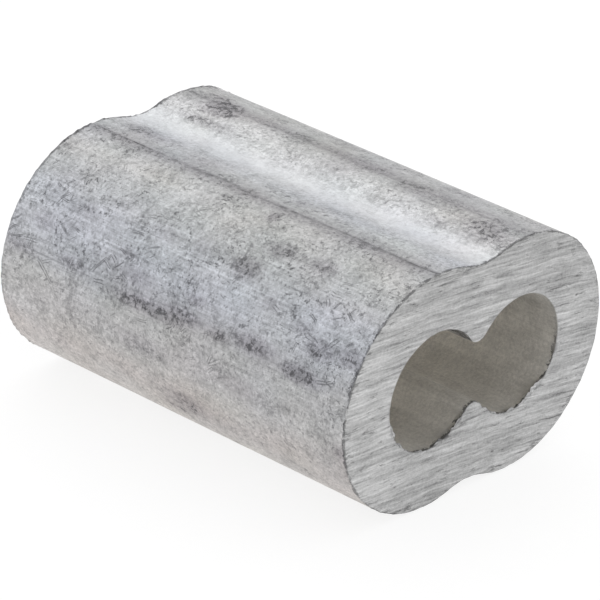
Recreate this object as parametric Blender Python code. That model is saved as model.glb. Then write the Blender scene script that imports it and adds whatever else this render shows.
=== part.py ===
"""Duplex (hourglass) sleeve for wire rope, sawn from an extruded aluminium bar.

The sleeve is one solid piece. Two rope bores lie side by side along Y and run into each
other, so that the rope's two legs share one opening. The body follows the bores with an
even wall, and a shallow groove runs along the top and the bottom between its two lobes.

Frame: origin at the sleeve's centre, +X across the two bores, +Y along the rope and +Z
through the thickness. Lengths are in metres.
"""

import math

import bmesh
import bpy

MM = 0.001

# Driving dimensions
SLEEVE_LENGTH = 24.4 * MM
SLEEVE_WIDTH = 20.0 * MM
LOBE_RADIUS = 6.72 * MM
BORE_RADIUS = 3.35 * MM
BORE_OFFSET = 3.24 * MM
GROOVE_DEPTH = 0.5 * MM
BORE_WAIST = 3.5 * MM
LOBE_FLATNESS = 0.988
BORE_FLATNESS = 0.98

# How finely the round stretches are cut into flats, and how far the cutter overruns
ARC_STEP = math.radians(4.0)
CUTTER_OVERRUN = 2.0 * MM

# Finish of the extruded aluminium
ALUMINIUM_COLOUR = (0.62, 0.62, 0.64, 1.0)
ALUMINIUM_ROUGHNESS = 0.45
SHARP_ANGLE = math.radians(35.0)


def clear_scene():
    for existing in list(bpy.data.objects):
        bpy.data.objects.remove(existing, do_unlink=True)


def arc(centre_x, centre_z, radius, start, end):
    """Points on an arc from the angle start up to the angle end, which is left out."""
    count = max(2, math.ceil(abs(end - start) / ARC_STEP))
    points = []
    for index in range(count):
        angle = start + (end - start) * index / count
        x = centre_x + radius * math.cos(angle)
        z = centre_z + radius * math.sin(angle)
        points.append((x, z))
    return points


def hourglass(lobe_radius, lobe_offset, waist, flatness):
    """Closed outline of two round lobes joined by two hollow arcs tangent to both.

    waist is the height left between the two hollow arcs, before the whole outline is
    flattened along Z.
    """
    half_waist = waist / 2
    waist_radius = (lobe_offset**2 + half_waist**2 - lobe_radius**2) / (
        2 * (lobe_radius - half_waist)
    )
    waist_centre = half_waist + waist_radius
    lean = math.atan2(waist_centre, lobe_offset)
    reach = math.pi - lean

    outline = arc(lobe_offset, 0.0, lobe_radius, -reach, reach)
    outline += arc(0.0, waist_centre, waist_radius, -lean, lean - math.pi)
    outline += arc(-lobe_offset, 0.0, lobe_radius, math.pi - reach, math.pi + reach)
    outline += arc(0.0, -waist_centre, waist_radius, math.pi - lean, lean)
    return [(x, z * flatness) for x, z in outline]


def bar_mesh(name, outline, length):
    """A closed bar of the outline's section, centred on the origin and lying along Y."""
    mesh = bpy.data.meshes.new(name)
    bar = bmesh.new()
    corners = [bar.verts.new((x, -length / 2, z)) for x, z in outline]
    end_face = bar.faces.new(corners)
    swept = bmesh.ops.extrude_face_region(bar, geom=[end_face])
    moved = [item for item in swept["geom"] if isinstance(item, bmesh.types.BMVert)]
    bmesh.ops.translate(bar, verts=moved, vec=(0.0, length, 0.0))
    bmesh.ops.recalc_face_normals(bar, faces=bar.faces)
    bar.to_mesh(mesh)
    bar.free()
    mesh.shade_smooth()
    mesh.set_sharp_from_angle(angle=SHARP_ANGLE)
    return mesh


def place(name, mesh):
    placed = bpy.data.objects.new(name, mesh)
    bpy.context.scene.collection.objects.link(placed)
    return placed


def extruded_aluminium():
    material = bpy.data.materials.new("extruded_aluminium")
    material.use_nodes = True
    shader = material.node_tree.nodes["Principled BSDF"]
    shader.inputs["Base Color"].default_value = ALUMINIUM_COLOUR
    shader.inputs["Metallic"].default_value = 1.0
    shader.inputs["Roughness"].default_value = ALUMINIUM_ROUGHNESS
    return material


def make_bore_cutter():
    """The two joined rope bores as one cutter, longer than the sleeve at both ends."""
    outline = hourglass(BORE_RADIUS, BORE_OFFSET, BORE_WAIST, BORE_FLATNESS)
    length = SLEEVE_LENGTH + 2 * CUTTER_OVERRUN
    cutter = place("bore_cutter", bar_mesh("bore_cutter", outline, length))
    cutter.hide_render = True
    cutter.display_type = "WIRE"
    return cutter


def make_sleeve_body(cutter):
    """The sleeve itself: the outer bar with both bores cut right through."""
    lobe_offset = SLEEVE_WIDTH / 2 - LOBE_RADIUS
    waist = 2 * (LOBE_RADIUS - GROOVE_DEPTH)
    outline = hourglass(LOBE_RADIUS, lobe_offset, waist, LOBE_FLATNESS)
    body = place("sleeve_body", bar_mesh("sleeve_body", outline, SLEEVE_LENGTH))
    body.data.materials.append(extruded_aluminium())
    bores = body.modifiers.new("bores", "BOOLEAN")
    bores.operation = "DIFFERENCE"
    bores.solver = "EXACT"
    bores.object = cutter
    return body


def build():
    clear_scene()
    make_sleeve_body(make_bore_cutter())


build()
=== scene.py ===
"""Looks of the duplex wire rope sleeve: sawn, scuffed, mill-finish extruded aluminium.

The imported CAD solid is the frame. This script replaces its plain surface by a fine mesh
that holds the die lines, saw marks, ragged edges and dents, and gives it three
procedural materials: the weathered barrel, the sawn ends and the darker bores.

Lengths are in metres in the frame's axes, except where a name or a comment says millimetres.
Places round an outline are measured from its bottom groove, going up the left side first,
and are mostly given as a share of the way round.
"""

import math

import bpy
import numpy as np
from mathutils import Matrix, Vector, noise


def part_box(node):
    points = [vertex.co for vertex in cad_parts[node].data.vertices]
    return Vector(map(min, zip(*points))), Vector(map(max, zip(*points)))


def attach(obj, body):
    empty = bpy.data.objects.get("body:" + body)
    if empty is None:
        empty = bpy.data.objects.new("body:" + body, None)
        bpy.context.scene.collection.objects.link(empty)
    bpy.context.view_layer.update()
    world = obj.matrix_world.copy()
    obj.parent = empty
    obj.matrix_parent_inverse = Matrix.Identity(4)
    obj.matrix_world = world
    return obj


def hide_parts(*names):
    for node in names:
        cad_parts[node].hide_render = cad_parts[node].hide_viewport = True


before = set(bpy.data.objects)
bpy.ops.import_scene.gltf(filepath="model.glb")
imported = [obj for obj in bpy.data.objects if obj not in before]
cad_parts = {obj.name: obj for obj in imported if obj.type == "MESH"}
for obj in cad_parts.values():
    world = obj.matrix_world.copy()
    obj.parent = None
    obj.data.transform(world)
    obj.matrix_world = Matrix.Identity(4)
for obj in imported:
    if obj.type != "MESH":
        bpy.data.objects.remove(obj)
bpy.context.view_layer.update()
NODE = "sleeve_body"

MM = 0.001
LOW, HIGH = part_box(NODE)
CENTRE = (LOW + HIGH) / 2
WIDTH, LENGTH, THICKNESS = HIGH - LOW
HALF_LENGTH = LENGTH / 2

# Section of the extrusion, in shares of its width
LOBE_RADIUS = 0.336 * WIDTH
GROOVE_DEPTH = 0.025 * WIDTH
BORE_RADIUS = 0.1675 * WIDTH
BORE_OFFSET = 0.162 * WIDTH
BORE_WAIST = 0.172 * WIDTH
LOBE_FLATNESS = THICKNESS / (2 * LOBE_RADIUS)
BORE_FLATNESS = 0.98

# Fineness of the mesh
LOBE_STEPS = 238
WAIST_STEPS = 18
BARREL_ROWS = 72
BORE_ROWS = 48
FACE_ROWS = 22
EDGE_ROWS = 4

# Depths of the reliefs
BARREL_DEPTH = 0.012 * MM
SAW_DEPTH = 0.022 * MM
BORE_DEPTH = 0.010 * MM

# Rounding of the edges, the least share of it, and the share that a burr of 1 adds
EDGE_RADIUS = 0.09 * MM
BORE_EDGE_RADIUS = 0.07 * MM
EDGE_LEAST = 0.6
BORE_EDGE_LEAST = 0.7
EDGE_SWELL = 0.6

# Burrs: how far they stand out, and the back end's as a share of the front's
OUTER_LIP = 0.055 * MM
BORE_LIP = 0.13 * MM
TORN_LIP = 0.31 * MM
BORE_LIP_BACK = 0.5
OUTER_LIP_BACK = 1.7

# The bores' burrs grow downwards: BURR_LEVEL of the full size at mid height, never under
# BURR_LEAST of it, and full well below the middle
BURR_LEVEL = 0.30
BURR_LEAST = 0.08

# Seeds of the noise, and how far one seed shifts the noise and the scratches
BARREL_SEED = 1
BORE_SEED = 11
FRONT_SEED = 20
BACK_SEED = 30
FILM_SEED = 41
NOISE_SHIFT = (13.7, 5.3, 9.1)
SCRATCH_SHIFT = (17.3, 11.9)

# Course of the saw lines, in millimetres: Z falls by TILT * X + BOW * X squared
SAW_TILT = 0.091
SAW_BOW = 0.0029

# Bare metal, and the dark colour that paints dirt and painted shade over it
BARREL_BRIGHTNESS = 0.535
SAWN_METAL = (0.455, 0.455, 0.455)
BORE_METAL = (0.785, 0.765, 0.726)
BARREL_DIRT_AND_SHADE = (0.085, 0.085, 0.09, 1.0)
SAWN_DIRT_AND_SHADE = (0.09, 0.09, 0.09, 1.0)
BORE_DIRT_AND_SHADE = (0.10, 0.10, 0.10, 1.0)

# Depth of each material's bump
BARREL_BUMP = 0.055 * MM
SAWN_BUMP = 0.06 * MM
BORE_BUMP = 0.02 * MM

# Layers of scratches, in millimetres and degrees: (cell, half width, half length, share, lean,
# spread, seed), which Nodes.scratches explains
SCRATCH_LAYERS = [
    (1.3, 0.038, 0.80, 0.65, -20, 35, 1),
    (0.9, 0.034, 0.45, 0.60, -30, 60, 2),
    (2.6, 0.045, 1.20, 0.50, 10, 90, 3),
    (0.6, 0.034, 0.30, 0.60, 0, 90, 4),
]
PAIR_GAP_MM = 0.09

# Camera, as an orbit about the sleeve's centre
CAMERA_AZIMUTH = math.radians(-49.2)
CAMERA_ELEVATION = math.radians(25.7)
CAMERA_ROLL = math.radians(3.92)
CAMERA_DISTANCE = 10.9 * WIDTH
CAMERA_DROP = 0.0203 * WIDTH
CAMERA_SIDE = 0.0017 * WIDTH
SENSOR_MM = 36.0
LENS_MM = 248.5

# Light tent and floor
KEY_DIRECTION = (0.55, 0.60, 0.58)
KEY_SPREAD = math.radians(45)
KEY_LEVEL = 1.35
TENT_LEVEL = 0.85
FLOOR_COLOUR = (0.26, 0.26, 0.26, 1.0)
FLOOR_GLOW = 0.79
FLOOR_RADIUS = 60 * WIDTH
FLOOR_GAP = 0.02 * MM


# ---------------------------------------------------------------- outlines

def arc_points(centre, radius, start, end, count):
    """Points from the angle start up to the angle end, which is left out."""
    angles = start + (end - start) * np.arange(count) / count
    return np.stack(
        [centre[0] + radius * np.cos(angles), centre[1] + radius * np.sin(angles)], axis=1
    )


def hourglass(lobe_radius, lobe_offset, waist, flatness):
    """Closed outline in X and Z: two round lobes joined by hollow arcs tangent to both.

    It starts at the middle of the bottom arc and runs by the left lobe to the top.
    """
    half_waist = waist / 2
    waist_radius = (lobe_offset**2 + half_waist**2 - lobe_radius**2) / (
        2 * (lobe_radius - half_waist)
    )
    waist_centre = half_waist + waist_radius
    lean = math.atan2(waist_centre, lobe_offset)
    reach = math.pi - lean
    half_steps = WAIST_STEPS // 2
    points = np.concatenate(
        [
            arc_points((0, -waist_centre), waist_radius, math.pi / 2, math.pi - lean, half_steps),
            arc_points((-lobe_offset, 0), lobe_radius, math.pi + reach, math.pi - reach, LOBE_STEPS),
            arc_points((0, waist_centre), waist_radius, lean - math.pi, -lean, WAIST_STEPS),
            arc_points((lobe_offset, 0), lobe_radius, reach, -reach, LOBE_STEPS),
            arc_points((0, -waist_centre), waist_radius, lean, math.pi / 2, half_steps),
        ]
    )
    return points * (1, flatness)


def outline_normals(points):
    """Unit normals of a clockwise outline, pointing out of it."""
    tangent = np.roll(points, -1, axis=0) - np.roll(points, 1, axis=0)
    normal = np.stack([-tangent[:, 1], tangent[:, 0]], axis=1)
    return normal / np.linalg.norm(normal, axis=1, keepdims=True)


def outline_lengths(points):
    """Distance along the outline at each point, and the whole way round."""
    steps = np.linalg.norm(np.roll(points, -1, axis=0) - points, axis=1)
    return np.concatenate([[0.0], np.cumsum(steps)[:-1]]), float(steps.sum())


# ---------------------------------------------------------------- noise

def noise_at(points, per_mm, seed):
    """Smooth noise from -1 to 1 at each point, with per_mm cells in a millimetre of each axis."""
    shift = Vector([seed * step for step in NOISE_SHIFT])
    scaled = np.asarray(points) / MM * np.asarray(per_mm)
    flat = scaled.reshape(-1, 3)
    values = np.array([noise.noise(Vector(p) + shift) for p in flat])
    return values.reshape(scaled.shape[:-1])


def ripples(points, layers, first_seed):
    """Noise added up in layers, each as (strength, cells in a millimetre of each axis)."""
    total = 0.0
    for seed, (strength, per_mm) in enumerate(layers, first_seed):
        total = total + strength * noise_at(points, per_mm, seed)
    return total


def bump_at(value, middle, half_width):
    """1 at the middle, easing to 0 half_width away."""
    near = np.clip(1 - np.abs(value - middle) / half_width, 0, 1)
    return near * near * (3 - 2 * near)


def fading(distance, full, gone):
    """1 up to the distance full, falling to 0 at the distance gone."""
    return np.clip((gone - distance) / (gone - full), 0, 1)


# ---------------------------------------------------------------- the section's two outlines

OUTER = hourglass(LOBE_RADIUS, WIDTH / 2 - LOBE_RADIUS, 2 * (LOBE_RADIUS - GROOVE_DEPTH), LOBE_FLATNESS)
BORE = hourglass(BORE_RADIUS, BORE_OFFSET, BORE_WAIST / BORE_FLATNESS, BORE_FLATNESS)
OUTER_NORMAL = outline_normals(OUTER)
BORE_NORMAL = outline_normals(BORE)
OUTER_ALONG, OUTER_ROUND = outline_lengths(OUTER)
BORE_ALONG, BORE_ROUND = outline_lengths(BORE)
COUNT = len(OUTER)


def in_space(outline, y):
    """The outline's points as X, Y, Z at the depth y, a number or one for each point."""
    return np.stack([outline[:, 0], np.broadcast_to(y, len(outline)), outline[:, 1]], axis=1)


# ---------------------------------------------------------------- reliefs

# Die lines, which are shallow grooves, as (share of the way round, half width, depth)
DIE_LINES = [
    (0.436, 0.42 * MM, 0.030 * MM),
    (0.428, 0.14 * MM, 0.020 * MM),
    (0.566, 0.36 * MM, 0.026 * MM),
    (0.283, 0.12 * MM, 0.016 * MM),
    (0.290, 0.10 * MM, 0.014 * MM),
    (0.297, 0.12 * MM, 0.012 * MM),
    (0.700, 0.16 * MM, 0.018 * MM),
    (0.792, 0.12 * MM, 0.014 * MM),
    (0.066, 0.40 * MM, 0.024 * MM),
    (0.934, 0.36 * MM, 0.024 * MM),
]

# Dents, as (share of the way round, share of the length from the front, radius, depth)
DENTS = [
    (0.41, 0.42, 0.45 * MM, 0.030 * MM),
    (0.345, 0.37, 0.60 * MM, 0.022 * MM),
    (0.31, 0.09, 0.50 * MM, 0.030 * MM),
    (0.54, 0.86, 0.70 * MM, 0.030 * MM),
    (0.22, 0.55, 0.55 * MM, 0.025 * MM),
    (0.65, 0.30, 0.60 * MM, 0.030 * MM),
    (0.74, 0.70, 0.50 * MM, 0.025 * MM),
    (0.85, 0.45, 0.60 * MM, 0.025 * MM),
]

# Layers of noise: long die streaks first, then shorter waves, and dimples on the barrel
BARREL_RIPPLES = [(1.0, (2.4, 0.012, 2.4)), (0.6, (0.7, 0.25, 0.7)), (0.5, (1.9, 1.5, 1.9))]
BORE_RIPPLES = [(1.0, (2.2, 0.01, 2.2)), (0.5, (0.8, 0.2, 0.8))]

# Saw ridges, coarse to fine. Their first axis runs across the lines and the second along them
SAW_RIPPLES = [(1.0, (1.1, 0.05, 1.0)), (0.7, (2.6, 0.08, 1.0)), (0.35, (5.0, 0.16, 1.0))]

# Burrs: clumps, and two sizes of teeth in them
BURR_MEAN = 0.25
BURR_MOST = 1.3
BURR_RIPPLES = [(0.9, (0.45, 1, 0.45)), (0.88, (1.6, 1, 1.6)), (1.1, (3.3, 1, 3.3))]


def barrel_relief(y):
    """How far the barrel's surface stands out of the plain outline at the depth y."""
    relief = BARREL_DEPTH * ripples(in_space(OUTER, y), BARREL_RIPPLES, BARREL_SEED)
    for share, half_width, depth in DIE_LINES:
        relief -= depth * bump_at(OUTER_ALONG, share * OUTER_ROUND, half_width)
    for share, lengthwise, radius, depth in DENTS:
        away = np.hypot(OUTER_ALONG - share * OUTER_ROUND, y - (lengthwise - 0.5) * LENGTH)
        relief -= depth * bump_at(away, 0, radius)
    return relief


def bore_relief(y):
    """How far the bore's wall stands into the bore at the depth y."""
    return BORE_DEPTH * ripples(in_space(BORE, y), BORE_RIPPLES, BORE_SEED)


def saw_relief(points, seed):
    """Height of the saw marks: long, slightly bowed ridges across the width."""
    x = points[..., 0] / MM
    z = points[..., 1] / MM
    across = z + SAW_TILT * x + SAW_BOW * x * x
    marks = np.stack([across, x, np.full_like(x, seed)], axis=-1) * MM
    return SAW_DEPTH * ripples(marks, SAW_RIPPLES, seed)


# Torn places at a bore's edge, as (share of the way round the bore, half width, strength)
TORN_PLACES = [
    (0.028, 0.60 * MM, 0.9),
    (0.064, 1.20 * MM, 1.0),
    (0.115, 0.80 * MM, 0.8),
    (0.205, 1.40 * MM, 0.6),
    (0.250, 0.80 * MM, 0.5),
    (0.905, 0.70 * MM, 0.6),
    (0.840, 1.00 * MM, 0.8),
    (0.770, 0.60 * MM, 0.5),
]

# Painted shadows in notches just inside a bore's edge, given as the torn places are
SHADED_NOTCHES = [(0.455, 1.70 * MM, 2.4), (0.215, 1.60 * MM, 0.6)]


def torn_line(places):
    """How torn or stained the bore's edge is at each of its points."""
    line = np.zeros(COUNT)
    for share, half_width, strength in places:
        line = np.maximum(line, strength * bump_at(BORE_ALONG, share * BORE_ROUND, half_width))
    return line


def torn_edge(outline, seed):
    """How far torn metal stands out at each point of an edge: clumps of low teeth."""
    burr = BURR_MEAN + ripples(in_space(outline, 0.0), BURR_RIPPLES, seed)
    return np.clip(burr, 0, BURR_MOST)


# ---------------------------------------------------------------- the sleeve's mesh

class Rows:
    """Rings of points round the section, one after the other, and the zone of each."""

    def __init__(self):
        self.points = []
        self.zones = []

    def add(self, outline, y, zone):
        """Adds a ring at the depth y, a number or one for each point."""
        self.points.append(in_space(outline, y))
        self.zones.append(zone)


BARREL, SAWN, BORES = range(3)


def end_rows(rows, side, inwards):
    """One end from the barrel's edge to the bore's edge, or back if inwards is False.

    side is -1 for the front end and 1 for the back.
    """
    made = []
    front = side < 0
    seed = FRONT_SEED if front else BACK_SEED
    end = side * HALF_LENGTH
    outer = OUTER + OUTER_NORMAL * barrel_relief(end)[:, None]
    bore = BORE - BORE_NORMAL * bore_relief(end)[:, None]
    # The saw marks use the first seeds of an end, then come its outer burr's and its bore burr's
    burr = torn_edge(OUTER, seed + 4)[:, None]
    bore_burr = torn_edge(BORE, seed + 7)[:, None]
    outer_lip = burr * OUTER_LIP * (1 if front else OUTER_LIP_BACK)
    low_side = np.clip(BURR_LEVEL - BORE[:, 1:] / BORE_RADIUS, BURR_LEAST, 1.0)
    bore_lip = bore_burr * (BORE_LIP * low_side + TORN_LIP * torn_line(TORN_PLACES)[:, None])
    bore_lip = bore_lip * (1 if front else BORE_LIP_BACK)
    radius = EDGE_RADIUS * (EDGE_LEAST + EDGE_SWELL * burr)
    bore_radius = BORE_EDGE_RADIUS * (BORE_EDGE_LEAST + EDGE_SWELL * bore_burr)
    turns = math.pi / 2 * (np.arange(EDGE_ROWS) + 0.5) / EDGE_ROWS

    for turn in turns:
        ring = outer - OUTER_NORMAL * radius * (1 - math.cos(turn))
        ring = ring + OUTER_NORMAL * outer_lip * math.sin(2 * turn)
        y = end - side * radius[:, 0] * (1 - math.sin(turn))
        y = y + side * saw_relief(ring, seed) * math.sin(turn) ** 2
        made.append((ring, y, BARREL if turn < math.pi / 4 else SAWN))

    face_outer = outer - OUTER_NORMAL * radius
    face_bore = bore + BORE_NORMAL * bore_radius
    for share in (np.arange(FACE_ROWS) + 0.5) / FACE_ROWS:
        ring = face_outer * (1 - share) + face_bore * share
        made.append((ring, end + side * saw_relief(ring, seed), SAWN))

    for turn in turns:
        ring = bore + BORE_NORMAL * bore_radius * (1 - math.sin(turn))
        ring = ring - BORE_NORMAL * bore_lip * math.sin(2 * turn)
        y = end - side * bore_radius[:, 0] * (1 - math.cos(turn))
        y = y + side * saw_relief(ring, seed) * math.cos(turn) ** 2
        made.append((ring, y, SAWN if turn < math.pi / 4 else BORES))

    for ring, y, zone in made if inwards else reversed(made):
        rows.add(ring, y, zone)


def sleeve_rows():
    """All rings in order: along the barrel, over the back end, through the bore, over the front."""
    rows = Rows()
    for share in (np.arange(BARREL_ROWS) + 0.5) / BARREL_ROWS:
        y = (2 * share - 1) * (HALF_LENGTH - 2 * EDGE_RADIUS)
        ring = OUTER + OUTER_NORMAL * barrel_relief(y)[:, None]
        rows.add(ring, y, BARREL)
    end_rows(rows, 1, inwards=True)
    for share in (np.arange(BORE_ROWS) + 0.5) / BORE_ROWS:
        y = (1 - 2 * share) * (HALF_LENGTH - 2 * BORE_EDGE_RADIUS)
        ring = BORE - BORE_NORMAL * bore_relief(y)[:, None]
        rows.add(ring, y, BORES)
    end_rows(rows, -1, inwards=False)
    return rows


def chart_of(zone):
    """Distance round the section of each point, with the closing point's, for a zone's map."""
    along, whole = (BORE_ALONG, BORE_ROUND) if zone == BORES else (OUTER_ALONG, OUTER_ROUND)
    return np.append(along, whole)


def build_sleeve():
    """The sleeve as one closed ring of quads, with its surface map and painted masks."""
    rows = sleeve_rows()
    points = np.stack(rows.points)
    count_rows = len(points)
    row, column = np.meshgrid(np.arange(count_rows), np.arange(COUNT), indexing="ij")
    next_row, next_column = (row + 1) % count_rows, (column + 1) % COUNT
    quads = np.stack(
        [
            row * COUNT + column,
            row * COUNT + next_column,
            next_row * COUNT + next_column,
            next_row * COUNT + column,
        ],
        axis=-1,
    ).reshape(-1, 4)

    mesh = bpy.data.meshes.new("sleeve")
    mesh.from_pydata(points.reshape(-1, 3).tolist(), [], quads.tolist())
    zones = np.array(rows.zones)
    quad_zone = np.repeat(np.where(zones == np.roll(zones, -1), zones, SAWN), COUNT)
    mesh.polygons.foreach_set("material_index", quad_zone.astype(np.int32))
    mesh.shade_smooth()

    surface_map = mesh.uv_layers.new(name="surface_mm")
    corner_rows = np.stack([row, row, next_row, next_row], axis=-1).reshape(-1, 4)
    corner_columns = np.stack([column, column + 1, column + 1, column], axis=-1).reshape(-1, 4)
    outer_chart, bore_chart = chart_of(BARREL), chart_of(BORES)
    corner_zone = quad_zone[:, None]
    distance = np.where(corner_zone == BORES, bore_chart[corner_columns], outer_chart[corner_columns])
    where = points[corner_rows, corner_columns % COUNT]
    u = np.where(corner_zone == SAWN, where[..., 0], distance)
    v = np.where(corner_zone == SAWN, where[..., 2], where[..., 1])
    surface_map.data.foreach_set("uv", (np.stack([u, v], axis=-1) / MM).ravel())

    paint_masks(mesh, points, rows)
    mesh.validate()
    mesh.update()
    return mesh


# ---------------------------------------------------------------- painted masks

# Broad tints of the oxide film with painted reflections in them, such as the bluish bands and a
# bright painted highlight along the top groove, as (share of the way round, red, green, blue)
FILM_AND_SHEEN_TINTS = [
    (0.00, 0.94, 0.93, 0.91),
    (0.10, 1.02, 0.975, 0.94),
    (0.15, 1.06, 1.005, 0.965),
    (0.165, 1.04, 0.985, 0.95),
    (0.185, 1.00, 0.945, 0.915),
    (0.20, 1.01, 0.955, 0.93),
    (0.235, 0.98, 0.96, 0.96),
    (0.27, 0.96, 0.96, 0.97),
    (0.285, 0.97, 0.98, 1.03),
    (0.31, 1.035, 1.06, 1.14),
    (0.34, 1.10, 1.13, 1.205),
    (0.358, 1.03, 1.05, 1.085),
    (0.37, 1.05, 1.07, 1.09),
    (0.40, 1.045, 1.045, 1.035),
    (0.42, 0.95, 0.95, 0.95),
    (0.44, 0.90, 0.91, 0.92),
    (0.47, 0.91, 0.93, 0.975),
    (0.488, 1.04, 1.06, 1.10),
    (0.51, 1.27, 1.29, 1.32),
    (0.54, 1.20, 1.20, 1.20),
    (0.56, 0.84, 0.84, 0.84),
    (0.58, 0.865, 0.865, 0.865),
    (0.60, 0.78, 0.78, 0.78),
    (0.62, 1.02, 1.02, 1.02),
    (0.65, 1.00, 1.00, 1.01),
    (0.70, 1.08, 1.10, 1.15),
    (0.76, 0.98, 0.98, 0.99),
    (0.82, 1.08, 1.05, 1.02),
    (0.90, 1.04, 1.01, 0.99),
    (1.00, 0.94, 0.93, 0.91),
]

# Dark smudges, as (share round, share of the length from the front, half round, half along, strength)
SMUDGES = [
    (0.2815, 0.14, 0.42 * MM, 1.2 * MM, 2.2),
    (0.310, 0.11, 0.50 * MM, 0.9 * MM, 1.8),
    (0.279, 0.555, 0.42 * MM, 2.4 * MM, 1.9),
    (0.285, 0.48, 0.38 * MM, 1.4 * MM, 1.7),
    (0.289, 0.27, 0.50 * MM, 1.3 * MM, 1.5),
    (0.300, 0.62, 0.50 * MM, 0.9 * MM, 0.6),
    (0.281, 0.95, 0.40 * MM, 1.0 * MM, 0.9),
    (0.312, 0.91, 0.50 * MM, 0.8 * MM, 0.7),
    (0.315, 0.03, 0.50 * MM, 0.9 * MM, 1.6),
    (0.351, 0.37, 0.65 * MM, 0.9 * MM, 1.5),
    (0.352, 0.50, 0.50 * MM, 0.7 * MM, 0.5),
    (0.340, 0.82, 0.50 * MM, 0.9 * MM, 0.6),
    (0.348, 0.60, 0.50 * MM, 0.9 * MM, 0.6),
    (0.381, 0.33, 0.50 * MM, 0.9 * MM, 1.3),
    (0.384, 0.21, 0.50 * MM, 0.8 * MM, 1.1),
    (0.413, 0.42, 0.35 * MM, 0.35 * MM, 2.0),
    (0.283, 0.37, 0.30 * MM, 0.9 * MM, 1.1),
    (0.287, 0.80, 0.35 * MM, 1.0 * MM, 0.9),
    (0.305, 0.45, 0.30 * MM, 0.7 * MM, 0.9),
    (0.318, 0.66, 0.30 * MM, 0.6 * MM, 0.8),
    (0.330, 0.27, 0.35 * MM, 0.6 * MM, 0.8),
    (0.322, 0.17, 0.35 * MM, 0.7 * MM, 0.9),
    (0.224, 0.01, 0.50 * MM, 0.5 * MM, 1.3),
    (0.240, 0.58, 0.60 * MM, 1.8 * MM, 0.6),
    (0.245, 0.30, 0.60 * MM, 1.5 * MM, 0.5),
    (0.190, 0.46, 0.90 * MM, 1.4 * MM, 1.2),
    (0.175, 0.51, 0.50 * MM, 0.9 * MM, 0.8),
    (0.460, 0.90, 0.80 * MM, 1.8 * MM, 1.1),
    (0.450, 0.70, 0.60 * MM, 1.2 * MM, 0.4),
    (0.452, 0.42, 0.50 * MM, 0.6 * MM, 0.7),
    (0.527, 0.86, 0.40 * MM, 1.8 * MM, 1.2),
    (0.560, 0.87, 1.05 * MM, 1.2 * MM, 2.2),
    (0.575, 0.91, 0.70 * MM, 0.9 * MM, 1.0),
    (0.530, 0.82, 0.50 * MM, 0.9 * MM, 0.8),
    (0.541, 0.08, 0.90 * MM, 2.2 * MM, 1.3),
    (0.528, 0.18, 0.50 * MM, 0.8 * MM, 0.8),
    (0.540, 0.50, 0.70 * MM, 1.2 * MM, 0.5),
    (0.558, 0.30, 0.50 * MM, 1.4 * MM, 0.7),
    (0.430, 0.50, 0.50 * MM, 20.0 * MM, 0.85),
    (0.566, 0.50, 0.50 * MM, 20.0 * MM, 0.65),
    (0.650, 0.35, 0.80 * MM, 1.8 * MM, 0.8),
    (0.690, 0.15, 0.50 * MM, 1.4 * MM, 1.0),
    (0.720, 0.75, 0.50 * MM, 2.4 * MM, 1.2),
    (0.728, 0.52, 0.40 * MM, 1.3 * MM, 1.0),
    (0.790, 0.20, 0.70 * MM, 1.5 * MM, 0.9),
    (0.880, 0.60, 0.90 * MM, 1.6 * MM, 0.8),
    (0.060, 0.30, 0.80 * MM, 1.4 * MM, 0.8),
]

# Stained lines that run the whole length, as (share of the way round, half width, darkness)
STAINED_LINES = [
    (0.433, 0.32 * MM, 0.62),
    (0.427, 0.65 * MM, 0.22),
    (0.442, 0.40 * MM, 0.20),
    (0.564, 0.34 * MM, 0.36),
    (0.572, 1.00 * MM, 0.22),
    (0.277, 0.08 * MM, 0.26),
    (0.2825, 0.10 * MM, 0.34),
    (0.288, 0.07 * MM, 0.28),
    (0.294, 0.08 * MM, 0.26),
    (0.300, 0.07 * MM, 0.20),
    (0.262, 0.08 * MM, 0.16),
    (0.323, 0.08 * MM, 0.14),
    (0.700, 0.16 * MM, 0.30),
    (0.708, 0.09 * MM, 0.28),
    (0.792, 0.12 * MM, 0.26),
    (0.066, 0.40 * MM, 0.35),
    (0.934, 0.36 * MM, 0.35),
]

# The smooth grooves, as (share of the way round, half width in shares)
CLEAN_GROOVES = [(0.500, 0.030), (0.0, 0.03), (1.0, 0.03)]

# Where the lengthwise lines are plainest, as (share of the way round, half width in shares)
DRAWN_BANDS = [(0.315, 0.10), (0.685, 0.10)]

# Where the dark flecks are thickest, in the same terms
FLECKED_BANDS = [(0.365, 0.14), (0.635, 0.14)]

# Dirt and painted shade at the torn edges, and painted shadow in the notches: how far each stays full,
# and where it has gone
TORN_ON_END = (0.048 * MM, 0.208 * MM)
TORN_INSIDE = (0.102 * MM, 0.442 * MM)
NOTCH_INSIDE = (0.72 * MM, 1.92 * MM)

# The back end's dark rim, painted shadow under the burr like the front's and a painted dark
# reflection over the top: its least share of the front's, and how much wider it gets over the
# top, from a height given as a share of half the thickness
BACK_RIM = 0.30
BACK_LINE = 0.055 * MM
BACK_LINE_FROM = 1 / 3

# Layers of noise that push the tints and the stained lines about, in shares of the way round
FILM_WANDER = [(0.010, (0.3, 0.12, 0.3)), (0.006, (1.1, 0.7, 1.1))]
LINE_FRAY = [(0.0016, (1.0, 0.5, 1.0))]

# The film's drift to red and blue, how much paler it gets to the back, and how much green a
# smudge takes out of it
RED_DRIFT = [(0.022, (0.55, 0.35, 0.55))]
BLUE_DRIFT = [(0.030, (0.45, 0.30, 0.45))]
BACK_PALER = 0.060
SMUDGE_CAST = 0.022

# Where a smudge has faded out, in its own half sizes
SMUDGE_REACH = 1.6


def smudge_mask(along, y):
    """The dark smudges, strongest at their middles."""
    mask = np.zeros(along.shape)
    for share, lengthwise, half_round, half_along, strength in SMUDGES:
        round_way = (along - share) * OUTER_ROUND / half_round
        length_way = (y - (lengthwise - 0.5) * LENGTH) / half_along
        mask = np.maximum(mask, strength * bump_at(np.hypot(round_way, length_way), 0, SMUDGE_REACH))
    return mask


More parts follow.
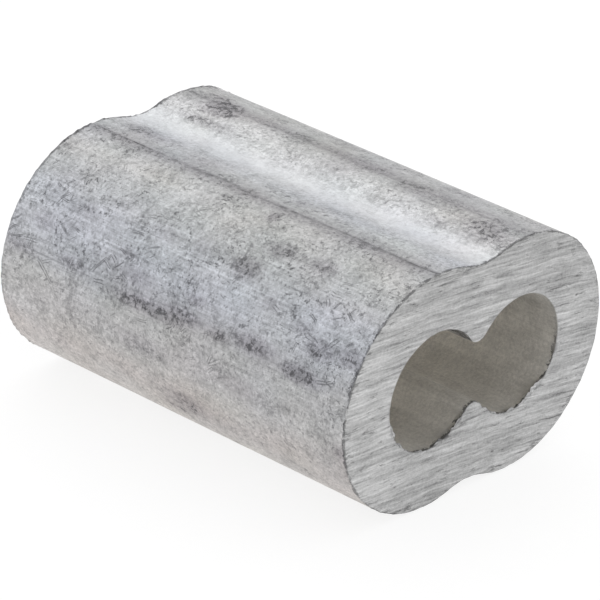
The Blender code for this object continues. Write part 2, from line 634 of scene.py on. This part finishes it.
def band_mask(along, bands):
    """Bands that run the whole length, as (share of the way round, half width in shares)."""
    mask = np.zeros(along.shape)
    for share, half_width in bands:
        mask = np.maximum(mask, bump_at(along, share, half_width))
    return mask


def line_mask(points, along):
    """The stained lines, with frayed edges."""
    place = (along + ripples(points, LINE_FRAY, FILM_SEED + 2)) * OUTER_ROUND
    mask = np.zeros(along.shape)
    for share, half_width, darkness in STAINED_LINES:
        mask = np.maximum(mask, darkness * bump_at(place, share * OUTER_ROUND, half_width))
    return mask


def torn_dirt_and_shade(bore_edge, zones):
    """Dirt and painted shade in the torn places along the bores' edges, and painted shadow in the
    notches inside them.
    """
    torn_lines = torn_line(TORN_PLACES)
    outside = torn_lines * fading(bore_edge, *TORN_ON_END)
    inside = torn_lines * fading(bore_edge, *TORN_INSIDE)
    notch_shade = torn_line(SHADED_NOTCHES) * fading(bore_edge, *NOTCH_INSIDE)
    return np.where(zones == BORES, np.maximum(inside, notch_shade), outside)


def edge_distance(points, outline):
    """Distance to the sharp edge that the outline would have at the nearer end."""
    depth = np.maximum(HALF_LENGTH - np.abs(points[..., 1]), 0)
    aside = np.hypot(points[..., 0] - outline[:, 0], points[..., 2] - outline[:, 1])
    return np.hypot(aside, depth)


def film_and_sheen_tint(points, along, smudges):
    """Colour of the oxide film with its painted reflections, with its alpha."""
    stops = np.array(FILM_AND_SHEEN_TINTS)
    place = along + ripples(points, FILM_WANDER, FILM_SEED)
    tint = np.stack([np.interp(place, stops[:, 0], stops[:, c]) for c in (1, 2, 3)], axis=-1)
    tint *= 1 + BACK_PALER * np.clip(points[..., 1] / HALF_LENGTH, 0, 1)[..., None]
    tint[..., 0] += ripples(points, RED_DRIFT, FILM_SEED + 3)
    tint[..., 1] -= SMUDGE_CAST * np.minimum(smudges, 1)
    tint[..., 2] += ripples(points, BLUE_DRIFT, FILM_SEED + 4)
    return np.append(tint, np.ones((*along.shape, 1)), axis=-1)


def paint_masks(mesh, points, rows):
    """Stores the tint with its painted reflections, the stains and painted shade, and the distance to
    each edge, for the materials to read.
    """
    y = points[..., 1]
    height = 2 * points[..., 2] / THICKNESS
    along = np.broadcast_to(OUTER_ALONG / OUTER_ROUND, y.shape)
    zones = np.array(rows.zones)[:, None]
    smudges = smudge_mask(along, y)
    bore_edge = edge_distance(points, BORE)
    # The back edge's painted dark reflection widens over the top
    over_top = np.clip((height - BACK_LINE_FROM) / (1 - BACK_LINE_FROM), 0, 1)
    outer_edge = edge_distance(points, OUTER) - np.where(y > 0, BACK_LINE * over_top, 0)
    masks = {
        "grime_and_shade": np.where(zones == BARREL, smudges, torn_dirt_and_shade(bore_edge, zones)),
        "lines": np.where(zones == BARREL, line_mask(points, along), 0.0),
        "clean": band_mask(along, CLEAN_GROOVES),
        "drawn": band_mask(along, DRAWN_BANDS),
        "flecked": band_mask(along, FLECKED_BANDS),
        "rim_shadow": np.where(y < 0, 1.0, np.clip(height, BACK_RIM, 1.0)),
        "outer_edge_mm": np.maximum(outer_edge, 0) / MM,
        "bore_edge_mm": bore_edge / MM,
    }
    for name, values in masks.items():
        layer = mesh.attributes.new(name, "FLOAT", "POINT")
        layer.data.foreach_set("value", values.ravel())
    film_and_sheen = mesh.attributes.new("film_and_sheen", "FLOAT_COLOR", "POINT")
    film_and_sheen.data.foreach_set("color", film_and_sheen_tint(points, along, smudges).ravel())


# ---------------------------------------------------------------- material helpers

class Nodes:
    """Short names for building one metal's node tree."""

    def __init__(self, name):
        self.material = bpy.data.materials.new(name)
        self.material.use_nodes = True
        self.tree = self.material.node_tree
        self.shader = self.tree.nodes["Principled BSDF"]

    def add(self, kind, **settings):
        node = self.tree.nodes.new(kind)
        for key, value in settings.items():
            setattr(node, key, value)
        return node

    def link(self, source, target):
        self.tree.links.new(source, target)

    def put(self, value, socket):
        """Feeds a socket with an output or a plain value."""
        if isinstance(value, bpy.types.NodeSocket):
            self.link(value, socket)
        else:
            socket.default_value = value

    def fed(self, node, *values):
        """The node's first output, with its first inputs fed with the values."""
        for value, socket in zip(values, node.inputs):
            self.put(value, socket)
        return node.outputs[0]

    def math(self, operation, *values):
        return self.fed(self.add("ShaderNodeMath", operation=operation), *values)

    def vector_math(self, operation, *values):
        return self.fed(self.add("ShaderNodeVectorMath", operation=operation), *values)

    def chain(self, operation, values):
        total = values[0]
        for value in values[1:]:
            total = self.math(operation, total, value)
        return total

    def add_up(self, *values):
        return self.chain("ADD", values)

    def highest(self, *values):
        return self.chain("MAXIMUM", values)

    def product(self, *values):
        return self.chain("MULTIPLY", values)

    def mask(self, name):
        """A value that paint_masks stored."""
        return self.add("ShaderNodeAttribute", attribute_name=name).outputs["Fac"]

    def split(self, vector):
        """The X, Y and Z of a vector."""
        node = self.add("ShaderNodeSeparateXYZ")
        self.link(vector, node.inputs[0])
        return list(node.outputs)

    def times(self, vector, value):
        """A vector or a colour scaled by a value."""
        node = self.add("ShaderNodeVectorMath", operation="SCALE")
        self.put(vector, node.inputs[0])
        self.put(value, node.inputs["Scale"])
        return node.outputs[0]

    def object_mm(self):
        """Position in the sleeve's own frame, in millimetres."""
        return self.times(self.add("ShaderNodeTexCoord").outputs["Object"], 1 / MM)

    def map_mm(self):
        """Position on the unrolled surface, in millimetres."""
        return self.add("ShaderNodeUVMap", uv_map="surface_mm").outputs[0]

    def stretch(self, vector, *factors):
        """The vector scaled along each axis."""
        return self.vector_math("MULTIPLY", vector, factors)

    def noise_node(self, vector, scale=1.0, detail=2.0, roughness=0.5, distortion=0.0):
        node = self.add("ShaderNodeTexNoise")
        self.link(vector, node.inputs["Vector"])
        node.inputs["Scale"].default_value = scale
        node.inputs["Detail"].default_value = detail
        node.inputs["Roughness"].default_value = roughness
        node.inputs["Distortion"].default_value = distortion
        return node

    def noise(self, vector, **shape):
        """Noise that varies about 0.5, with scale cells to a unit of the vector."""
        return self.noise_node(vector, **shape).outputs["Fac"]

    def span(self, value, low, high, to_low=0.0, to_high=1.0, smooth=False):
        """Maps low..high to to_low..to_high, held at both ends."""
        node = self.add("ShaderNodeMapRange")
        if smooth:
            node.interpolation_type = "SMOOTHSTEP"
        self.link(value, node.inputs["Value"])
        node.inputs["From Min"].default_value = low
        node.inputs["From Max"].default_value = high
        node.inputs["To Min"].default_value = to_low
        node.inputs["To Max"].default_value = to_high
        return node.outputs["Result"]

    def swing(self, value, amount, reach=0.20):
        """Maps noise, from 0.5 - reach to 0.5 + reach, to -amount..amount."""
        return self.span(value, 0.5 - reach, 0.5 + reach, -amount, amount)

    def patches(self, vector, low, high, least=0.0, **shape):
        """Soft-edged patches of noise: least where it is below low, and 1 above high."""
        return self.span(self.noise(vector, **shape), low, high, least, 1.0, smooth=True)

    def edge_line(self, edge, widest, place):
        """A ragged line along an edge, from 0 to widest millimetres wide."""
        wobble = self.noise(place, scale=2.2, detail=5.0, roughness=0.78)
        past = self.math("SUBTRACT", self.mask(edge), self.span(wobble, 0.36, 0.64, 0.0, widest))
        return self.span(past, -0.03, 0.02, 1, 0, smooth=True)

    def wavering(self, vector, amount, per_mm):
        """The vector pushed about a little by noise, in millimetres."""
        push = self.noise_node(vector, scale=per_mm).outputs["Color"]
        centred = self.vector_math("SUBTRACT", push, (0.5, 0.5, 0.5))
        return self.vector_math("MULTIPLY_ADD", centred, (amount, amount, amount), vector)

    def scratches(self, surface, cell, half_width, half_length, share, lean, spread, seed):
        """Scattered straight scratches on the unrolled surface, some in pairs, from 0 to 1.

        Each cell of about cell millimetres holds at most one. share is how many cells have
        one, and lean and spread set the angles that they lie at, in degrees.
        """
        shift = (seed * SCRATCH_SHIFT[0], seed * SCRATCH_SHIFT[1], 0.0)
        shifted = self.vector_math("ADD", surface, shift)
        cells = self.add("ShaderNodeTexVoronoi", voronoi_dimensions="2D")
        self.link(shifted, cells.inputs["Vector"])
        cells.inputs["Scale"].default_value = 1 / cell
        away = self.vector_math("SUBTRACT", shifted, cells.outputs["Position"])
        chance = self.add("ShaderNodeSeparateColor")
        self.link(cells.outputs["Color"], chance.inputs[0])
        turned, kept, long = chance.outputs
        angle = self.span(turned, 0, 1, math.radians(lean - spread), math.radians(lean + spread))
        spin = self.add("ShaderNodeVectorRotate", rotation_type="Z_AXIS")
        self.link(away, spin.inputs["Vector"])
        self.link(angle, spin.inputs["Angle"])
        sideways, lengthwise = self.split(spin.outputs[0])[:2]
        # The longer ones are doubled, with a gap that grows with the length
        gap = self.span(long, 0.55, 1.0, 0.0, PAIR_GAP_MM)
        beside = self.math("SUBTRACT", self.math("ABSOLUTE", sideways), gap)
        across = self.span(self.math("ABSOLUTE", beside), 0, half_width, 1, 0)
        reach = self.product(long, half_length)
        over = self.math("SUBTRACT", self.math("ABSOLUTE", lengthwise), reach)
        along = self.span(over, -0.3 * half_length, 0, 1, 0, smooth=True)
        return self.product(across, along, self.math("LESS_THAN", kept, share))

    def dirt_and_shade_over_metal(self, metal, dark, dirt, most):
        """The metal's colour with dirt and painted shade over it, by dark, which is held to most."""
        node = self.add("ShaderNodeMix", data_type="RGBA")
        # A Mix node's colours are its sockets 6 and 7 going in, and 2 coming out
        self.link(self.math("MINIMUM", dark, most), node.inputs[0])
        self.link(metal, node.inputs[6])
        node.inputs[7].default_value = dirt
        return node.outputs[2]

    def finish(self, colour, roughness, height, depth):
        """Wires the metal up and hands it over, with height as a bump of the given depth."""
        bump = self.add("ShaderNodeBump")
        bump.inputs["Strength"].default_value = 1.0
        bump.inputs["Distance"].default_value = depth
        self.link(height, bump.inputs["Height"])
        self.shader.inputs["Metallic"].default_value = 1.0
        self.link(colour, self.shader.inputs["Base Color"])
        self.link(roughness, self.shader.inputs["Roughness"])
        self.link(bump.outputs[0], self.shader.inputs["Normal"])
        return self.material


# ---------------------------------------------------------------- materials

def weathered_barrel():
    """Extruded outer skin: satin, mottled oxide with painted reflections in its tint, lengthwise lines,
    scuffs, dirt and painted edge shadows.
    """
    n = Nodes("weathered_barrel")
    place = n.object_mm()
    surface = n.wavering(n.map_mm(), 0.35, 0.8)
    clean = n.mask("clean")
    painted = n.mask("grime_and_shade")
    dull = n.span(clean, 0, 1, 1.0, 0.45)

    # The film's light and dark, and the lengthwise lines that drawing left
    cloud = n.noise(place, scale=0.5, detail=3.0, roughness=0.6, distortion=0.5)
    mottle = n.noise(place, scale=1.5, detail=6.0, roughness=0.80, distortion=0.6)
    grain = n.noise(place, scale=5.0, detail=5.0, roughness=0.82, distortion=0.2)
    drawn = n.noise(n.stretch(place, 9.0, 0.14, 9.0), detail=4.0, roughness=0.66)
    drawn_tone = n.product(n.swing(drawn, 0.20), n.span(n.mask("drawn"), 0, 1, 0.4, 1.0))
    tone = n.add_up(
        n.swing(cloud, 0.08),
        n.swing(mottle, 0.20),
        n.swing(grain, 0.34, reach=0.22),
        drawn_tone,
    )
    tone = n.math("MULTIPLY_ADD", tone, dull, 1.0)

    # Scratches, fainter where the surface is less worn, in the grooves and off the drawn bands
    marks = n.highest(*[n.scratches(surface, *layer) for layer in SCRATCH_LAYERS])
    worn = n.patches(place, 0.44, 0.56, least=0.15, scale=0.35, detail=2.0)
    spared = n.span(clean, 0, 1, 1.0, 0.5)
    marks = n.product(marks, worn, spared, n.span(n.mask("drawn"), 0, 0.6, 0.35, 1.0))

    # Dirt: crumbs in loose patches and in the painted smudges, pits, flecks and stained lines
    load = n.span(clean, 0, 1, 0.60, 0.0)
    patch = n.patches(place, 0.48, 0.60, scale=0.65, detail=6.0, roughness=0.76, distortion=0.6)
    crumbs = n.patches(place, 0.45, 0.57, scale=2.9, detail=7.0, roughness=0.84)
    pits = n.patches(place, 0.58, 0.70, scale=5.5, detail=3.0, roughness=0.65)
    thick = n.span(n.noise(place, scale=0.6, detail=3.0, roughness=0.6), 0.40, 0.60, 0.25, 1.0)
    flecks = n.patches(place, 0.54, 0.60, scale=3.8, detail=5.0, roughness=0.78)
    flecks = n.product(flecks, thick, dull, n.span(n.mask("flecked"), 0, 0.5, 0.40, 0.70))
    crumbly = n.product(n.math("MULTIPLY_ADD", patch, load, painted), crumbs, 0.62)
    streaky = n.span(drawn, 0.34, 0.60, 0.45, 1.35)
    mottled = n.span(mottle, 0.38, 0.60, 0.45, 1.35)
    dirt = n.highest(
        n.math("MINIMUM", crumbly, 0.85),
        n.product(pits, load, 0.8),
        n.product(painted, 0.20),
        flecks,
        n.product(n.mask("lines"), streaky, mottled),
    )
    # Painted shadow under the burrs along the sawn edges, and a painted dark reflection along the back
    # edge's top
    rim_shadow = n.product(n.edge_line("outer_edge_mm", 0.23, place), n.mask("rim_shadow"))
    rim_shadow = n.product(rim_shadow, n.span(mottle, 0.38, 0.6, 0.40, 0.92))
    dark = n.highest(dirt, n.product(marks, 0.70), rim_shadow)

    # The oxide film's tint, with painted reflections and a painted highlight along the top groove
    film_and_sheen = n.add("ShaderNodeAttribute", attribute_name="film_and_sheen").outputs["Color"]
    metal = n.times(film_and_sheen, n.product(tone, BARREL_BRIGHTNESS))
    colour = n.dirt_and_shade_over_metal(metal, dark, BARREL_DIRT_AND_SHADE, 0.93)
    rough = n.math("MULTIPLY_ADD", dark, 0.2, n.span(mottle, 0.3, 0.7, 0.38, 0.54))
    rough = n.math("MULTIPLY_ADD", clean, -0.10, rough)
    height = n.add_up(
        n.product(grain, 0.7), n.product(drawn, 0.5), n.product(marks, -0.6), n.product(dirt, -0.4)
    )
    return n.finish(colour, rough, height, BARREL_BUMP)


def sawn_end():
    """Saw-cut end: long bowed lines across the width, bright and dark, with torn ones."""
    n = Nodes("sawn_end")
    place = n.object_mm()
    x, z = n.split(n.wavering(n.map_mm(), 0.28, 0.5))[:2]
    bow = n.product(x, x, SAW_BOW)
    across = n.add_up(n.math("MULTIPLY_ADD", x, SAW_TILT, z), bow)
    marks = n.fed(n.add("ShaderNodeCombineXYZ"), across, x)

    # Saw lines of three sizes, brighter at the left end
    fine = n.noise(n.stretch(marks, 7.5, 0.40, 1.0), detail=4.0, roughness=0.72, distortion=0.2)
    coarse = n.noise(n.stretch(marks, 2.4, 0.10, 1.0), detail=3.0, roughness=0.62, distortion=0.2)
    grooves = n.noise(n.stretch(marks, 3.6, 0.22, 7.0), roughness=0.55, distortion=0.4)
    grain = n.noise(place, scale=6.0, detail=4.0, roughness=0.78)
    blotch = n.noise(place, scale=0.5, detail=3.0, roughness=0.55)
    tone = n.add_up(
        n.span(fine, 0.28, 0.72, 0.62, 1.38),
        n.swing(coarse, 0.28),
        n.swing(grain, 0.18),
        n.swing(blotch, 0.10),
        n.span(grooves, 0.24, 0.38, 0.30, 0.0, smooth=True),
        n.span(grooves, 0.60, 0.74, 0.0, -0.38, smooth=True),
        n.span(x, -9.0, -4.0, 0.13, 0.0),
    )

    # Torn lines, more of them near the outer edge, painted shadow along both edges, and dirt with
    # painted shade at the torn places
    torn = n.noise(n.stretch(marks, 4.2, 0.8, 1.0), detail=7.0, roughness=0.80)
    near_edge = n.span(n.mask("outer_edge_mm"), 0.15, 0.9, 1, 0)
    ripped = n.product(near_edge, n.span(blotch, 0.42, 0.6))
    torn = n.math("MULTIPLY_ADD", ripped, 0.07, torn)
    torn = n.span(torn, 0.57, 0.68, 0.0, 0.65, smooth=True)
    rim_shadow = n.product(n.edge_line("outer_edge_mm", 0.09, place), n.mask("rim_shadow"), 0.65)
    # Dirt and painted shade at the torn places along the bores' edges
    crumbs = n.patches(place, 0.42, 0.56, scale=3.5, detail=6.0, roughness=0.8)
    chewed_and_shaded = n.product(n.mask("grime_and_shade"), crumbs, 0.9)
    # Painted shadow under the burr along the lower side of each bore's edge
    low_side = n.span(z, 1.0, -1.5, 0.1, 0.6)
    bore_lip_shadow = n.product(n.edge_line("bore_edge_mm", 0.08, place), low_side)
    dark = n.highest(torn, rim_shadow, bore_lip_shadow, chewed_and_shaded)

    colour = n.dirt_and_shade_over_metal(n.times(SAWN_METAL, tone), dark, SAWN_DIRT_AND_SHADE, 0.9)
    height = n.add_up(
        n.product(fine, 0.8), n.product(coarse, 0.5), n.product(grain, 0.35), n.product(torn, -0.8)
    )
    return n.finish(colour, n.span(coarse, 0.3, 0.7, 0.36, 0.50), height, SAWN_BUMP)


def bore_wall():
    """Inside of the bores: dull warm grey with soft lengthwise bands, painted shade towards both
    mouths, and a torn edge with painted shadow and dirt along it.
    """
    n = Nodes("bore_wall")
    place = n.object_mm()
    y, z = n.split(place)[1:]
    streak = n.noise(n.stretch(place, 5.0, 0.10, 5.0), detail=3.0, roughness=0.6)
    mottle = n.noise(place, scale=1.1, detail=4.0, roughness=0.6)
    bands = n.noise(n.stretch(place, 0.6, 0.05, 0.6))
    grain = n.noise(place, scale=6.0, detail=4.0, roughness=0.78)
    tone = n.add_up(
        1.0,
        n.swing(streak, 0.045),
        n.swing(bands, 0.06, reach=0.15),
        n.swing(mottle, 0.06),
        n.swing(grain, 0.16),
    )
    # Painted shade: darker towards both mouths, lighter deep inside
    mouth_shade = n.span(n.math("ABSOLUTE", y), 5.0, 12.0, 1.07, 0.865)
    metal = n.times(BORE_METAL, n.product(tone, mouth_shade))
    # Dirt and painted shade at the torn places, and painted shadow in the notches
    crumbs = n.patches(place, 0.42, 0.56, least=0.22, scale=3.0, detail=6.0, roughness=0.8)
    chewed_and_shaded = n.product(n.mask("grime_and_shade"), crumbs)
    # Painted shadow under the burr along the lower side of the bore's edge
    low_side = n.span(z, 1.0, -1.5, 0.2, 0.85)
    rim_shadow = n.product(n.edge_line("bore_edge_mm", 0.32, place), low_side)
    colour = n.dirt_and_shade_over_metal(metal, n.highest(chewed_and_shaded, rim_shadow), BORE_DIRT_AND_SHADE, 0.85)
    return n.finish(colour, n.span(mottle, 0.3, 0.7, 0.60, 0.72), streak, BORE_BUMP)


# ---------------------------------------------------------------- pieces

def make_sleeve():
    """The one visual piece, in place of the CAD node."""
    mesh = build_sleeve()
    for material in (weathered_barrel(), sawn_end(), bore_wall()):
        mesh.materials.append(material)
    piece = bpy.data.objects.new("extruded_sleeve", mesh)
    bpy.context.scene.collection.objects.link(piece)
    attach(piece, "root")
    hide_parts(NODE)


# ---------------------------------------------------------------- stage, light and camera

def pale_floor():
    """Plain matt floor with a glow of its own, so that it shows as near white."""
    material = bpy.data.materials.new("pale_floor")
    material.use_nodes = True
    shader = material.node_tree.nodes["Principled BSDF"]
    shader.inputs["Base Color"].default_value = FLOOR_COLOUR
    shader.inputs["Roughness"].default_value = 0.8
    shader.inputs["Specular IOR Level"].default_value = 0.1
    shader.inputs["Emission Color"].default_value = (1.0, 1.0, 1.0, 1.0)
    shader.inputs["Emission Strength"].default_value = FLOOR_GLOW
    return material


def make_floor():
    """A round pale floor just under the sleeve."""
    under = (CENTRE.x, CENTRE.y, LOW.z - FLOOR_GAP)
    bpy.ops.mesh.primitive_circle_add(
        vertices=96, radius=FLOOR_RADIUS, fill_type="NGON", location=under
    )
    floor = bpy.context.object
    floor.name = "floor"
    floor.data.materials.append(pale_floor())


def make_world():
    """A light tent: plain white to the eye, and a little brighter towards the key side."""
    world = bpy.data.worlds.new("studio")
    world.use_nodes = True
    tree = world.node_tree
    background = tree.nodes["Background"]
    direction = tree.nodes.new("ShaderNodeTexCoord")
    towards_key = tree.nodes.new("ShaderNodeVectorMath")
    towards_key.operation = "DOT_PRODUCT"
    towards_key.inputs[1].default_value = Vector(KEY_DIRECTION).normalized()
    tree.links.new(direction.outputs["Generated"], towards_key.inputs[0])
    level = tree.nodes.new("ShaderNodeMapRange")
    level.interpolation_type = "SMOOTHSTEP"
    level.inputs["From Min"].default_value = math.cos(KEY_SPREAD)
    level.inputs["From Max"].default_value = 1.0
    level.inputs["To Min"].default_value = TENT_LEVEL
    level.inputs["To Max"].default_value = KEY_LEVEL
    tree.links.new(towards_key.outputs["Value"], level.inputs["Value"])
    seen = tree.nodes.new("ShaderNodeLightPath")
    strength = tree.nodes.new("ShaderNodeMix")
    strength.data_type = "FLOAT"
    tree.links.new(seen.outputs["Is Camera Ray"], strength.inputs[0])
    tree.links.new(level.outputs["Result"], strength.inputs[2])
    strength.inputs[3].default_value = 1.0
    background.inputs["Color"].default_value = (1.0, 1.0, 1.0, 1.0)
    tree.links.new(strength.outputs[0], background.inputs["Strength"])
    bpy.context.scene.world = world


def make_camera():
    """The camera on its orbit, rolled slightly, with the sleeve a little above the middle."""
    back = Vector(
        (
            math.sin(CAMERA_AZIMUTH) * math.cos(CAMERA_ELEVATION),
            -math.cos(CAMERA_AZIMUTH) * math.cos(CAMERA_ELEVATION),
            math.sin(CAMERA_ELEVATION),
        )
    )
    level = Vector((math.cos(CAMERA_AZIMUTH), math.sin(CAMERA_AZIMUTH), 0.0))
    rise = back.cross(level)
    right = level * math.cos(CAMERA_ROLL) + rise * math.sin(CAMERA_ROLL)
    up = back.cross(right)
    data = bpy.data.cameras.new("camera")
    data.sensor_width = SENSOR_MM
    data.lens = LENS_MM
    data.clip_start = CAMERA_DISTANCE / 100
    data.clip_end = CAMERA_DISTANCE * 100
    camera = bpy.data.objects.new("camera", data)
    place = CENTRE + back * CAMERA_DISTANCE + right * CAMERA_SIDE - up * CAMERA_DROP
    axes = Matrix((right, up, back)).transposed().to_4x4()
    camera.matrix_world = Matrix.Translation(place) @ axes
    bpy.context.scene.collection.objects.link(camera)
    bpy.context.scene.camera = camera


def make_studio():
    """Floor, light and camera, with colours shown as they are."""
    make_floor()
    make_world()
    make_camera()
    bpy.context.scene.view_settings.view_transform = "Standard"


make_sleeve()
make_studio()
